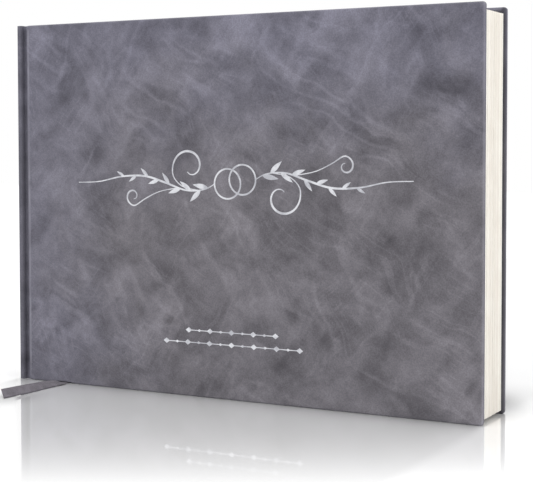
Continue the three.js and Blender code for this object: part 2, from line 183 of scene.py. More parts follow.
def loft(rings):
    """Points and faces of a closed tube through rings of the same length, capped at both ends."""
    rings = np.asarray(rings, float)
    count, size, _ = rings.shape
    faces = []
    for i in range(count - 1):
        for j in range(size):
            k = (j + 1) % size
            faces.append((i * size + j, i * size + k, (i + 1) * size + k, (i + 1) * size + j))
    faces.append(tuple(reversed(range(size))))
    faces.append(tuple((count - 1) * size + j for j in range(size)))
    return rings.reshape(-1, 3), faces


def slab_between(top, under):
    """Points and faces of a closed slab between two grids, each given by its x, y and z."""
    top, under = (np.stack(np.broadcast_arrays(*grid), axis=-1) for grid in (top, under))
    rows, columns, _ = top.shape
    points = np.concatenate([top.reshape(-1, 3), under.reshape(-1, 3)])
    size = rows * columns
    corners = [i * columns + j for i in range(rows - 1) for j in range(columns - 1)]
    faces = [(a, a + columns, a + columns + 1, a + 1) for a in corners]
    faces += [tuple(reversed([p + size for p in f])) for f in faces]
    rim = [(0, j) for j in range(columns)]
    rim += [(i, columns - 1) for i in range(1, rows)]
    rim += [(rows - 1, j) for j in range(columns - 2, -1, -1)]
    rim += [(i, 0) for i in range(rows - 2, 0, -1)]
    rim = [i * columns + j for i, j in rim]
    for a, c in zip(rim, rim[1:] + rim[:1]):
        faces.append((a, c, c + size, a + size))
    return points, faces


def gather(points, faces, part):
    """Adds a part's points and faces to the lists of a whole mesh."""
    faces.extend(tuple(p + len(points) for p in f) for f in part[1])
    points.extend(tuple(p) for p in part[0])


def waves(rng, count, spread, x, z):
    """A sum of sine waves that run in seeded directions over x and z."""
    total = np.zeros_like(x)
    for _ in range(count):
        kx, kz = rng.normal(0, spread, 2)
        total += np.sin(x * kx + z * kz + rng.uniform(0, 6.28))
    return total


# ---- materials


class Shader:
    """A principled material, with short calls for the nodes that feed it."""

    def __init__(self, name, **fixed):
        self.material = bpy.data.materials.new(name)
        self.material.use_nodes = True
        self.tree = self.material.node_tree
        self.tree.nodes.clear()
        self.output = self.tree.nodes.new("ShaderNodeOutputMaterial")
        self.bsdf = self.tree.nodes.new("ShaderNodeBsdfPrincipled")
        self.feed(self.output.inputs["Surface"], self.bsdf.outputs[0])
        for socket, value in fixed.items():
            self.bsdf.inputs[socket.replace("_", " ")].default_value = value

    def node(self, kind, inputs, out=0, **props):
        made = self.tree.nodes.new("ShaderNode" + kind)
        for key, value in props.items():
            setattr(made, key, value)
        for key, value in inputs.items():
            self.feed(made.inputs[key], value)
        return made.outputs[out]

    def feed(self, socket, value):
        if isinstance(value, bpy.types.NodeSocket):
            self.tree.links.new(value, socket)
        else:
            socket.default_value = value

    def done(self, colour, roughness, normal):
        self.feed(self.bsdf.inputs["Base Color"], colour)
        self.feed(self.bsdf.inputs["Roughness"], roughness)
        self.feed(self.bsdf.inputs["Normal"], normal)
        return self.material

    def attribute(self, name, out="Fac"):
        return self.node("Attribute", {}, out, attribute_name=name)

    def place(self, meshed=True):
        if meshed:
            return self.attribute("rest_place", "Vector")
        return self.node("TexCoord", {}, "Object")

    def stretched(self, place, *scale):
        return self.node("Mapping", {"Vector": place, "Scale": scale})

    def along(self, place, turn, lengths, offset=0.0):
        """The place turned in the cover's plane, then measured in steps of these lengths."""
        inputs = {
            "Vector": place,
            "Rotation": (0.0, math.radians(turn), 0.0),
            "Scale": lengths,
            "Location": (offset, 0.37 * offset, 0.71 * offset),
        }
        return self.node("Mapping", inputs, vector_type="TEXTURE")

    def warped(self, place, scale, reach):
        """The place pushed about by a noise, so that the pattern on it curls like smoke."""
        push = self.node("TexNoise", {"Vector": place, "Scale": scale, "Detail": 2.0}, "Color")
        push = self.node("VectorMath", {0: push, 1: (0.5, 0.5, 0.5)}, operation="SUBTRACT")
        push = self.node("VectorMath", {0: push, 1: (reach, reach, reach)}, operation="MULTIPLY")
        return self.node("VectorMath", {0: place, 1: push}, operation="ADD")

    def noise(self, place, scale, detail=3.0, rough=0.55):
        inputs = {"Vector": place, "Scale": scale, "Detail": detail, "Roughness": rough}
        return self.node("TexNoise", inputs)

    def math(self, operation, a, b=0.0):
        return self.node("Math", {0: a, 1: b}, operation=operation)

    def times(self, first, *others):
        for value in others:
            first = self.math("MULTIPLY", first, value)
        return first

    def plus(self, a, b):
        return self.math("ADD", a, b)

    def minus(self, a, b):
        return self.math("SUBTRACT", a, b)

    def wave(self, value, length):
        return self.math("SINE", self.times(value, 2.0 * math.pi / length))

    def fit(self, value, low, high, to_low=0.0, to_high=1.0, kind="SMOOTHSTEP"):
        inputs = {"Value": value, 1: low, 2: high, 3: to_low, 4: to_high}
        return self.node("MapRange", inputs, interpolation_type=kind)

    def ramp(self, *values):
        return self.fit(*values, kind="LINEAR")

    def ridge(self, value, width):
        """Bright where a noise passes its middle, which draws thin winding lines."""
        return self.fit(self.math("ABSOLUTE", self.minus(value, 0.5)), 0.0, width, 1.0, 0.0)

    def mix(self, factor, a, b, blend="MIX"):
        inputs = {0: factor, 6: a, 7: b}
        return self.node("Mix", inputs, 2, data_type="RGBA", blend_type=blend)

    def split(self, place):
        return self.node("SeparateXYZ", {0: place}).node.outputs

    def grey(self, value):
        return self.node("CombineXYZ", {0: value, 1: value, 2: value})

    def bump(self, height, strength, distance, under=None):
        inputs = {"Height": height, "Strength": strength, "Distance": distance}
        if under:
            inputs["Normal"] = under
        return self.node("Bump", inputs)


def rgb(red, green, blue):
    """A colour given as it looks on a screen, 0 to 255, as the linear one that a shader takes."""
    linear = [
        v / 12.92 if v <= 0.04045 else ((v + 0.055) / 1.055) ** 2.4
        for v in (red / 255, green / 255, blue / 255)
    ]
    return (*linear, 1.0)


def dimmed(colour, share):
    return (*(v * share for v in colour[:3]), 1.0)


# The suede-like cloth: smoky clouds and wisps, a drift from violet to brown, and a short nap.
CLOTH_DARK = rgb(73, 72, 75)
CLOTH_LIGHT = rgb(127, 126, 130)
# The rubbed colour serves both real wear and a painted highlight; the deep colour is painted shade.
CLOTH_WEAR_AND_HIGHLIGHT = rgb(144, 143, 152)
CLOTH_PAINTED_SHADE = rgb(58, 57, 63)
# These two multiply the colour.
CLOTH_VIOLET = (0.975, 0.97, 1.14, 1.0)
CLOTH_BROWN = (1.015, 0.98, 1.015, 1.0)
# Clouds: turn in degrees, lengths in metres, offset and share.
CLOUDS = [
    (52.0, (0.058, 0.03, 0.032), 2.62, 0.36),
    (-38.0, (0.034, 0.02, 0.016), 0.158, 0.32),
    (20.0, (0.017, 0.01, 0.010), 1.039, 0.20),
    (70.0, (0.007, 0.006, 0.005), 5.38, 0.12),
]
# Wisps and streaks: turn, lengths, offset, line width, strength, size and offset of the patches.
WISPS = [
    (58.0, (0.070, 0.03, 0.017), 0.60, 0.085, 0.24, 0.045, 2.069),
    (-62.0, (0.060, 0.03, 0.015), 3.684, 0.08, 0.20, 0.040, 4.079),
    (26.0, (0.075, 0.03, 0.014), 0.435, 0.075, 0.22, 0.050, 2.45),
    (66.0, (0.120, 0.03, 0.0052), 1.81, 0.06, 0.15, 0.026, 5.62),
    (28.0, (0.130, 0.03, 0.0046), 0.648, 0.06, 0.15, 0.028, 5.748),
    (-54.0, (0.110, 0.03, 0.0050), 4.80, 0.06, 0.13, 0.024, 2.043),
]
CLOUD_RANGE = (0.348, 0.662)


def cloth_material(name):
    s = Shader(
        name,
        Specular_IOR_Level=0.18,
        Sheen_Weight=0.12,
        Sheen_Roughness=0.55,
        Sheen_Tint=rgb(205, 205, 225),
    )
    place = s.place()
    x, _, z = s.split(place)
    smoke = s.warped(place, 30.0, 0.016)
    tone = 0.0
    for turn, lengths, offset, share in CLOUDS:
        cloud = s.noise(s.along(smoke, turn, lengths, offset), 1.0, 3.0, 0.5)
        tone = s.plus(tone, s.times(cloud, share))
    tone = s.ramp(tone, *CLOUD_RANGE)
    light = tone
    for turn, lengths, offset, width, strength, patch, patch_offset in WISPS:
        line = s.ridge(s.noise(s.along(smoke, turn, lengths, offset), 1.0, 1.0, 0.4), width)
        where = s.noise(s.along(place, 0.0, (patch,) * 3, patch_offset), 1.0, 2.0)
        light = s.plus(light, s.times(line, s.fit(where, 0.50, 0.66), strength))
    patches = s.noise(s.along(smoke, 0.0, (0.018,) * 3, 4.4), 1.0, 4.0, 0.6)
    grain = s.noise(place, 1500.0, 2.0, 0.6)
    colour = s.mix(s.ramp(light, 0.0, 1.0), CLOTH_DARK, CLOTH_LIGHT)
    # Violet towards the head and the spine, brown below.
    lumpy = s.ramp(s.noise(smoke, 14.0, 3.0, 0.6), 0.3, 0.7, -0.03, 0.03)
    below = s.fit(s.plus(z, lumpy), 0.232, 0.105)
    inland = s.fit(s.plus(x, lumpy), -0.15, -0.04, 0.2, 1.0)
    drift = s.mix(s.times(below, inland), CLOTH_VIOLET, CLOTH_BROWN)
    colour = s.mix(1.0, colour, drift, "MULTIPLY")
    colour = s.mix(1.0, colour, s.grey(s.ramp(grain, 0.3, 0.7, 0.82, 1.17)), "MULTIPLY")
    # Wear lightens the rubbed edges and corners, and a painted highlight lightens the rim of the cover at
    # the joint.
    wear_and_painted_highlight = s.times(s.attribute("wear_and_painted_highlight"), s.fit(patches, 0.35, 0.65, 0.2, 0.6))
    colour = s.mix(wear_and_painted_highlight, colour, CLOTH_WEAR_AND_HIGHLIGHT)
    # Painted shade darkens the cloth in the joint's groove, on the spine's ridge, round the inner edges, in
    # the turn-ins and in the mitre.
    colour = s.mix(s.times(s.attribute("painted_shade"), 0.8), colour, CLOTH_PAINTED_SHADE)
    fibres = s.noise(s.along(place, 35.0, (0.0011, 0.0011, 0.0004)), 1.0, 2.0)
    relief = s.bump(patches, 0.12, 0.0006, s.bump(grain, 0.35, 0.00022))
    relief = s.bump(fibres, 0.18, 0.00018, relief)
    return s.done(colour, s.ramp(tone, 0.0, 1.0, 0.95, 0.8), relief)


def paper_material(name, tint, meshed=True, leaves=False):
    s = Shader(name, Specular_IOR_Level=0.3)
    place = s.place(meshed)
    fibres = s.noise(s.stretched(place, 1.0, 1.0, 2.2), 900.0, 4.0, 0.65)
    cloud = s.noise(place, 60.0)
    colour = s.mix(s.ramp(fibres, 0.3, 0.7, 0.0, 0.55), tint, dimmed(tint, 0.9))
    colour = s.mix(s.fit(cloud, 0.35, 0.65, 0.0, 0.2), colour, rgb(230, 222, 210))
    if leaves:
        tone = s.ramp(s.attribute("leaf_tone"), 0.0, 1.0, 0.0, 0.55)
        colour = s.mix(tone, colour, rgb(222, 214, 206))
        streak = s.noise(s.stretched(place, 1.0, 1.0, 0.03), 3200.0, 2.0)
        x = s.split(place)[0]
        fore_edge = s.fit(x, LEAF_X - 1.0 * MM, LEAF_X - 0.4 * MM, 0.0, 0.26)
        streak = s.times(s.fit(streak, 0.45, 0.7), fore_edge)
        colour = s.mix(streak, colour, rgb(205, 197, 188))
    return s.done(colour, s.ramp(fibres, 0.3, 0.7, 0.76, 0.9), s.bump(fibres, 0.12, 0.00006))


def board_material(name):
    s = Shader(name, Specular_IOR_Level=0.2)
    place = s.place(False)
    layers = s.noise(s.stretched(place, 60.0, 2400.0, 60.0), 1.0)
    flecks = s.noise(place, 700.0, 4.0, 0.7)
    colour = s.mix(s.fit(layers, 0.35, 0.65), rgb(150, 142, 128), rgb(171, 163, 148))
    colour = s.mix(s.fit(flecks, 0.58, 0.75), colour, rgb(104, 97, 86))
    return s.done(colour, s.fit(flecks, 0.3, 0.7, 0.88, 1.0), s.bump(flecks, 0.3, 0.0002))


def woven_material(name, base, thread, gap=0.35, meshed=False):
    """Plain weave of crossing threads, for the mull and the tapes."""
    s = Shader(name, Specular_IOR_Level=0.2, Sheen_Weight=0.12)
    place = s.place(meshed)
    _, y, z = s.split(place)
    warp, weft = s.wave(y, thread), s.wave(z, thread)
    ribs = s.math("MAXIMUM", s.math("ABSOLUTE", warp), s.math("ABSOLUTE", weft))
    slub = s.noise(s.stretched(place, 1.0, 1.0, 0.1), 900.0)
    # The dark colour is painted shade in the gaps between the threads, and the tone of the thicker slubs.
    dark = dimmed(base, 1.0 - gap)
    colour = s.mix(s.fit(ribs, 0.45, 0.95), dark, base)
    colour = s.mix(s.fit(slub, 0.45, 0.7, 0.0, 0.4), colour, dark)
    relief = s.bump(s.plus(s.times(warp, weft), ribs), 0.5, 0.00012)
    return s.done(colour, s.fit(slub, 0.3, 0.7, 0.8, 0.95), relief)


def foil_material(name):
    s = Shader(name, Metallic=1.0, Specular_IOR_Level=0.5)
    place = s.place(False)
    fine = s.noise(place, 2600.0, 3.0, 0.7)
    cloud = s.noise(place, 140.0, 4.0, 0.6)
    colour = s.mix(s.fit(cloud, 0.35, 0.65), rgb(180, 181, 188), rgb(218, 219, 224))
    colour = s.mix(s.fit(fine, 0.63, 0.72, 0.0, 0.7), colour, rgb(128, 126, 134))
    return s.done(colour, s.ramp(fine, 0.3, 0.75, 0.22, 0.5), s.bump(fine, 0.25, 0.00005))


def ribbon_material(name):
    """Ribbed satin, by the two lengths kept on the mesh: along the ribbon and across it."""
    s = Shader(
        name,
        Specular_IOR_Level=0.35,
        Anisotropic=0.5,
        Sheen_Weight=0.1,
        Sheen_Roughness=0.4,
    )
    across = s.attribute("ribbon_across")
    ribs = s.wave(s.attribute("ribbon_along"), 0.00055)
    warp = s.wave(across, 0.0004)
    edge = s.fit(s.math("ABSOLUTE", across), 0.0031, 0.0037)
    cloud = s.noise(s.place(), 240.0)
    colour = s.mix(s.fit(cloud, 0.3, 0.7), rgb(103, 99, 105), rgb(124, 119, 126))
    weave = s.fit(s.times(ribs, warp), -1.0, 1.0, 0.0, 0.25)
    colour = s.mix(weave, colour, rgb(82, 78, 86))
    colour = s.mix(s.times(edge, 0.6), colour, rgb(72, 68, 76))
    relief = s.bump(s.plus(ribs, s.times(warp, 0.35)), 0.35, 0.00008)
    return s.done(colour, s.fit(weave, 0.0, 0.25, 0.42, 0.6), relief)


def thread_material(name, first, second, pitch):
    """Wound or twisted thread, in two colours that take turns every three windings."""
    s = Shader(name, Specular_IOR_Level=0.35, Sheen_Weight=0.15, Sheen_Roughness=0.4)
    turn = s.attribute("wound")
    band = s.math("FRACT", s.math("DIVIDE", turn, pitch * 6.0))
    fuzz = s.noise(s.place(), 5200.0)
    colour = s.mix(s.fit(band, 0.47, 0.53), first, second)
    # Painted shade in the grooves that the winding leaves.
    colour = s.mix(s.fit(s.wave(turn, pitch), -1.0, -0.3, 0.45, 0.0), colour, rgb(90, 86, 92))
    colour = s.mix(s.fit(fuzz, 0.5, 0.75, 0.0, 0.2), colour, rgb(235, 232, 230))
    return s.done(colour, s.fit(fuzz, 0.3, 0.7, 0.5, 0.75), s.bump(fuzz, 0.3, 0.00006))


def glue_material(name):
    s = Shader(name, Specular_IOR_Level=0.45, Coat_Weight=0.2, Coat_Roughness=0.35)
    lumps = s.noise(s.place(), 420.0, 4.0, 0.6)
    colour = s.mix(s.fit(lumps, 0.35, 0.65), rgb(214, 206, 184), rgb(233, 228, 212))
    return s.done(colour, s.fit(lumps, 0.3, 0.7, 0.45, 0.75), s.bump(lumps, 0.4, 0.0003))


M_CLOTH = cloth_material("suede_cloth")
M_PAPER = paper_material("page_paper", rgb(249, 247, 240), leaves=True)
M_ENDPAPER = paper_material("endpaper_sheet", rgb(251, 250, 246))
M_LINING = paper_material("lining_paper", rgb(205, 196, 176), meshed=False)
M_BOARD = board_material("grey_board")
M_MULL = woven_material("mull_gauze", rgb(226, 221, 207), 0.0016, gap=0.5)
M_TAPE = woven_material("linen_tape", rgb(233, 229, 217), 0.0006)
M_TAIL = woven_material("headband_tail_cloth", rgb(224, 221, 214), 0.0005, meshed=True)
M_FOIL = foil_material("silver_foil")
M_RIBBON = ribbon_material("ribbed_satin")
M_HEADBAND = thread_material("wound_silk", rgb(226, 226, 230), rgb(141, 137, 147), 0.00042)
M_THREAD = thread_material("linen_thread", rgb(232, 228, 216), rgb(222, 217, 204), 0.0004)
M_GLUE = glue_material("spine_glue")


# ---- the ribbon

ALONG_X = (1.0, 0.0, 0.0)
ALONG_Y = (0.0, -1.0, 0.0)
FULL, GATHERED = 8.0, 2.6  # widths in millimetres


def tilted(yaw, tilt):
    a, b = math.radians(yaw), math.radians(tilt)
    return (math.cos(a) * math.cos(b), -math.sin(a) * math.cos(b), -math.sin(b))


# Each point of the ribbon's route in millimetres, with the direction of its width, and its width.
RIBBON_ROUTE = [
    ((-144.6, 0, 192), ALONG_Y, FULL),
    ((-144.6, 0, 206), ALONG_Y, FULL),
    ((-144.55, 0, 212), ALONG_Y, FULL * 0.7),
    ((-144.3, 0, 214.3), ALONG_Y, GATHERED),
    ((-143.3, 0, 215.05), ALONG_Y, GATHERED),
    ((-141.6, 0, 215.15), ALONG_Y, GATHERED),
    ((-139.2, 0, 215), (0, -0.94, 0.34), GATHERED),
    ((-136.2, 0, 214.4), (0.25, -0.7, 0.67), GATHERED),
    ((-133.6, 0, 213.4), (0.55, -0.3, 0.78), GATHERED),
    ((-131.4, 0, 211.2), (0.8, 0, 0.6), GATHERED),
    ((-129.8, 0, 206), (0.97, 0, 0.24), FULL * 0.6),
    ((-128.6, 0, 196), (1, 0, 0.1), FULL),
    ((-126.4, 0, 168), ALONG_X, FULL),
    ((-123.7, 0, 130), ALONG_X, FULL),
    ((-121.4, 0, 90), ALONG_X, FULL),
    ((-119.6, 0, 50), ALONG_X, FULL),
    ((-118.6, 0, 20), ALONG_X, FULL),
    ((-118.4, 0, 6), ALONG_X, FULL),
    ((-118.4, -0.08, 2), ALONG_X, FULL),
    ((-118.3, -1, 0.8), ALONG_X, FULL),
    ((-118, -4, 0.26), ALONG_X, FULL),
    ((-117.2, -10, 0.2), ALONG_X, FULL),
    ((-115.8, -19, 0.2), ALONG_X, FULL),
    ((-114.7, -24, 1.2), tilted(-7, 13), FULL),
    ((-115, -33, 1.6), tilted(-3, 19), FULL),
    ((-115.3, -42.5, 1.8), tilted(2, 22.5), FULL),
    ((-115.5, -50.5, 1.98), tilted(7.5, 26), FULL),
    ((-116, -61, 2.18), tilted(13, 28.5), FULL),
    ((-117.4, -73.6, 2.3), tilted(18.5, 28.5), FULL),
]
RIBBON_THICK = 0.3
RIBBON_STEP = 1.1
END_SLANT = 2.2  # how far each corner of the cut end stands before or behind its middle
SLANTED_RINGS = 4


def unit(vectors):
    return vectors / np.linalg.norm(vectors, axis=1)[:, None]


def lengths_along(path):
    steps = np.linalg.norm(np.diff(path, axis=0), axis=1)
    return np.concatenate([[0.0], np.cumsum(steps)])


def eased_route(route, step):
    """Points, width directions and widths in even steps, on a curve through the route."""
    points = np.array([p for p, _, _ in route], float)
    extra = np.array([[*w, width] for _, w, width in route], float)
    chord = np.linalg.norm(np.diff(points, axis=0), axis=1)
    at = np.concatenate([[0.0], np.cumsum(np.sqrt(chord))])
    tangents = np.gradient(points, at, axis=0, edge_order=1)
    fine_points, fine_extra = [], []
    for i in range(len(points) - 1):
        count = max(2, int(round(chord[i] / step)))
        for k in range(count):
            t = k / count
            h = at[i + 1] - at[i]
            p = (
                (2 * t**3 - 3 * t**2 + 1) * points[i]
                + (t**3 - 2 * t**2 + t) * h * tangents[i]
                + (-2 * t**3 + 3 * t**2) * points[i + 1]
                + (t**3 - t**2) * h * tangents[i + 1]
            )
            ease = t * t * (3 - 2 * t)
            fine_points.append(p)
            fine_extra.append(extra[i] * (1 - ease) + extra[i + 1] * ease)
    fine_points.append(points[-1])
    fine_extra.append(extra[-1])
    return np.array(fine_points), np.array(fine_extra)


def make_ribbon():
    points, extra = eased_route(RIBBON_ROUTE, RIBBON_STEP)
    side, widths = extra[:, :3], extra[:, 3]
    forward = unit(np.gradient(points, axis=0))
    side = unit(side - forward * np.sum(side * forward, axis=1)[:, None])
    up = np.cross(side, forward)
    length = lengths_along(points)
    across = np.linspace(-1.0, 1.0, 17)
    wide = across * FULL / 2 * MM
    gathered = 1.0 - smoothstep(widths, GATHERED, FULL * 0.9)
    selvedge = 0.5 * RIBBON_THICK * (0.86 + 0.14 * np.abs(across) ** 6)
    selvedge[[0, -1]] *= 0.45
    rings, along_values, across_values = [], [], []
    for i, middle in enumerate(points):
        half = widths[i] / 2 - 0.05
        fold = 0.2 * gathered[i] * np.sin(across * 2.5 * math.pi)
        line = middle + np.outer(across * half, side[i]) + np.outer(fold, up[i])
        top = line + np.outer(selvedge, up[i])
        under = line - np.outer(selvedge, up[i])
        rings.append(np.concatenate([top, under[::-1]]))
        along_values += [length[i] * MM] * (2 * len(across))
        across_values += [*wide, *wide[::-1]]
    # The cut end slants, and the last rings lean towards it.
    slant = np.concatenate([across, across[::-1]])[:, None] * forward[-1]
    for back in range(SLANTED_RINGS):
        rings[-1 - back] += slant * (END_SLANT * (1 - back / SLANTED_RINGS))
    ribbon = finish_mesh(
        "ribbon_bookmark_satin",
        *loft(np.array(rings) * MM),
        M_RIBBON,
        55,
        {"ribbon_along": along_values, "ribbon_across": across_values},
    )
    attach(ribbon, "root")
    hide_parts("ribbon_bookmark")


make_ribbon()


# ---- the case: covers and joint

GROOVE_INNER_Y = 14.62 * MM
FACE_Y = 18.94 * MM
HINGE_START = X0 + 4.2 * MM
HINGE_END = X0 + 6.5 * MM
HINGE_Y = 17 * MM
MIDDLE_Z = 0.108
CORNER_ROUND = 1.6 * MM
EDGE_ROUND = 1.15 * MM
FACE_INSET = 3.0 * MM
CREASE = 0.42 * MM  # the gap along the mitre of two turn-ins
MITRE_SINK = 0.34 * MM
# The tail edge is lifted over the ribbon.
RELIEF_FROM, RELIEF_TO, RELIEF = X0 + 26.8 * MM, X0 + 39.2 * MM, 0.55 * MM
# Cloth in the joint, from the ridge of the spine to the cover's face, in millimetres from the
# spine and the middle: three curves, each with its number of steps.
JOINT_CURVES = [
    ([(3.94, 16.75), (3.98, 16.2), (4.35, 16.0), (4.85, 16.0)], 5),
    ([(4.85, 16.0), (5.45, 16.0), (5.95, 16.3), (6.15, 16.95)], 7),
    ([(6.15, 16.95), (6.55, 17.55), (7.6, 18.94), (9.8, 18.94)], 12),
]


def bezier(points, count):
    """Points of a cubic curve, its first point left out."""
    a, b, c, d = np.array(points, float)
    t = np.linspace(0, 1, count + 1)[1:, None]
    return (1 - t) ** 3 * a + 3 * (1 - t) ** 2 * t * b + 3 * (1 - t) * t * t * c + t**3 * d


def case_profile():
    """Outer and inner points and cloth thickness across the cover, and how many in the joint."""
    start = JOINT_CURVES[0][0][0]
    curve = np.concatenate([[start], *(bezier(*c) for c in JOINT_CURVES)])
    curve = np.array([X0, 0.0]) + curve * MM
    joint = len(curve)
    near = curve[-1, 0] + np.array([1.2, 3.0]) * MM
    flat_x = np.concatenate([near, np.linspace(near[-1] + 3.5 * MM, FORE_X - FACE_INSET, 68)])
    outer = np.concatenate([curve, np.stack([flat_x, np.full_like(flat_x, FACE_Y)], axis=-1)])
    x = outer[:, 0]
    rise = smoothstep(x, X0 + 6.2 * MM, X0 + 7.4 * MM)
    inner = np.stack([x, GROOVE_INNER_Y + rise * (INNER_Y - GROOVE_INNER_Y)], axis=-1)
    full = smoothstep(x, X0 + 7.0 * MM, X0 + 12.0 * MM)
    thick = JOINT_CLOTH + (CLOTH - JOINT_CLOTH) * full
    thick[:joint] = np.minimum(thick[:joint], JOINT_CLOTH)
    return outer, inner, thick, joint


def wrap_rows(depth):
    """Steps round a wrapped edge: inset, depth from the outer face, and if it is turned in."""
    radius = min(EDGE_ROUND, depth * 0.48)
    rows = [(FACE_INSET, 0.0, False), (1.9 * MM, 0.0, False)]
    arc = [(1 - math.sin(a), 1 - math.cos(a)) for a in np.radians(np.linspace(0, 90, 6))]
    rows += [(radius * a, radius * b, False) for a, b in arc]
    rows.append((0.0, depth / 2, False))
    rows += [(radius * b, depth - radius * a, False) for a, b in arc]
    insets = (2.0, 3.2, 5.0, 7.0, 9.0, 11.0, 13.0, 14.4, 14.9, 15.0)
    return rows + [(inset * MM, depth, True) for inset in insets]


def band_columns(stations, heights):
    """The band's columns: kind, place (a station, an angle or a height), and if it is mirrored."""
    turns = [k / 6 * 90 for k in range(7)]
    columns = [("edge", i, False) for i in range(stations)]
    columns += [("corner", turn, False) for turn in turns]
    columns += [("fore", z, False) for z in heights]
    columns += [("corner", 90 - turn, True) for turn in turns]
    columns += [("edge", i, True) for i in reversed(range(stations))]
    return columns


def wrapped_place(kind, at, station, inset, depth, turned):
    """A point of the band. The head's columns are mirrored later."""
    crease = CREASE * float(smoothstep(inset, 1.3 * MM, 3.0 * MM)) if turned else 0.0
    if kind == "edge":
        outer, direction = station
        x, y = outer + direction * depth
        return (min(x, FORE_X - inset - crease) if turned else x), y, inset
    x, y, z = FORE_X - inset, FACE_Y - depth, inset
    if kind == "fore":
        return x, y, min(max(at, z + crease), HEIGHT - z - crease) if turned else at
    if inset < CORNER_ROUND:
        turn, reach = math.radians(at), CORNER_ROUND - inset
        x = FORE_X - CORNER_ROUND + reach * math.sin(turn)
        z = CORNER_ROUND - reach * math.cos(turn)
    if turned:
        y += MITRE_SINK * float(smoothstep(inset, 1.6 * MM, 3.0 * MM))
    return x, y, z


def edge_painted_shade(kind, turned, share):
    """Painted shade: darker round the edge than on the face, darker where turned in, darkest in the mitre.
    """
    if turned:
        return 1.0 if kind == "corner" else 0.8
    return 0.0 if kind == "edge" else 0.95 * float(smoothstep(share, 0.12, 0.85))


def strip_faces(strips):
    return [
        (left[r], right[r], right[r + 1], left[r + 1])
        for left, right in zip(strips, strips[1:])
        for r in range(len(left) - 1)
    ]


def thicken(mesh, side):
    """Gives the cloth its thickness, towards the board."""
    b = bmesh.new()
    b.from_mesh(mesh)
    bmesh.ops.remove_doubles(b, verts=b.verts, dist=2e-6)
    bmesh.ops.dissolve_degenerate(b, edges=b.edges, dist=2e-6)
    bmesh.ops.recalc_face_normals(b, faces=b.faces)
    b.normal_update()
    # Outward is away from the board: the face's middle has to look away from the book.
    probe = max(b.faces, key=lambda f: f.calc_area())
    if probe.normal.y * side < 0:
        bmesh.ops.reverse_faces(b, faces=b.faces)
        b.normal_update()
    layer = b.verts.layers.float["cloth_thickness"]
    copies = {v: b.verts.new(v.co - v.normal * v[layer], v) for v in list(b.verts)}
    rims = [e for e in b.edges if e.is_boundary]
    for f in list(b.faces):
        b.faces.new([copies[v] for v in reversed(f.verts)])
    for e in rims:
        a, c = e.link_loops[0].vert, e.link_loops[0].link_loop_next.vert
        b.faces.new([c, a, copies[a], copies[c]])
    b.to_mesh(mesh)
    b.free()


def make_case_cloth(word, side):
    outer, inner, thick, joint = case_profile()
    low, high = FACE_INSET, HEIGHT - FACE_INSET
    heights = [low, *np.linspace(low + 3.2 * MM, high - 3.2 * MM, 52), high]
    rng = np.random.default_rng(11 if side < 0 else 12)
    rows = []

    def add(x, y, z, *values):
        rows.append((x, side * y, z, *values))
        return len(rows) - 1

    # The outer face, from the joint's floor to just short of the fore edge.
    face = []
    for (x, y), t in zip(outer, thick):
        # Painted shade darkens the cloth down in the joint's groove, and a painted highlight lightens the
        # rim where the cloth turns onto the face; the highlight is kept with the wear.
        groove_shade = 0.3 * float(1 - smoothstep(y, 17.4 * MM, 18.5 * MM))
        before = 1 - smoothstep(x, X0 + 8.9 * MM, X0 + 9.8 * MM)
        rim_highlight = float(smoothstep(y, 18.45 * MM, 18.75 * MM) * before)
        face.append([add(x, y, z, t, rim_highlight, groove_shade) for z in heights])

    # The wrapped tail, fore and head edges as one band, with round corners in plan.
    band = []
    for kind, at, mirrored in band_columns(len(outer), heights):
        depth, t, station = FACE_Y - INNER_Y, CLOTH, None
        if kind == "edge":
            through = inner[at] - outer[at]
            depth, t = float(np.linalg.norm(through)), thick[at]
            station = outer[at], through / depth
        over_ribbon = side < 0 and kind == "edge" and not mirrored
        strip = []
        for inset, h, turned in wrap_rows(depth):
            x, y, z = wrapped_place(kind, at, station, inset, h, turned)
            if mirrored:
                z = HEIGHT - z
            # Wear lightens the rubbed edges and corners, less towards the inner side; painted shade darkens
            # the inner side, the turn-ins and the mitre.
            edge = 0.15 if turned else 1.0 - smoothstep(inset, 0.0, 1.1 * MM)
            corner = 0.35 if kind == "corner" and inset < 2 * MM else 0.0
            worn = (float(edge) * (0.5 + 0.3 * rng.random()) + corner) * (1.0 - 0.8 * h / depth)
            if kind == "edge" and at < joint - 6:
                worn *= 0.3
            if over_ribbon and RELIEF_FROM < x < RELIEF_TO:
                z = max(z, RELIEF + 0.35 * z)
            strip.append(add(x, y, z, t, min(worn, 1.0), edge_painted_shade(kind, turned, h / depth)))
        band.append(strip)

    # The cloth lies on the board slightly unevenly.
    rows = np.array(rows)
    points = rows[:, :3]
    uneven = np.abs(waves(rng, 9, 42, points[:, 0], points[:, 2])) * 0.008 * MM
    on_face = smoothstep(np.abs(points[:, 1]), FACE_Y - 0.2 * MM, FACE_Y)
    inland = smoothstep(points[:, 0], X0 + 9 * MM, X0 + 22 * MM)
    points[:, 1] -= side * uneven * on_face * inland

    mesh = bpy.data.meshes.new(f"{word}_case_cloth")
    mesh.from_pydata([tuple(p) for p in points], [], strip_faces(face) + strip_faces(band))
    # Each point keeps its cloth thickness, its wear with the painted highlight, and its painted shade.
    for column, label in enumerate(("cloth_thickness", "wear_and_painted_highlight", "painted_shade"), 3):
        store_value(mesh, label, rows[:, column])
    thicken(mesh, side)
    obj = mesh_object(mesh, M_CLOTH, 50)
    start, end = (HINGE_START, side * HINGE_Y, MIDDLE_Z), (HINGE_END, side * HINGE_Y, MIDDLE_Z)
    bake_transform(obj, "root", f"{word}_cover", start, end)
    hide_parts(f"{word}_cover_cloth")


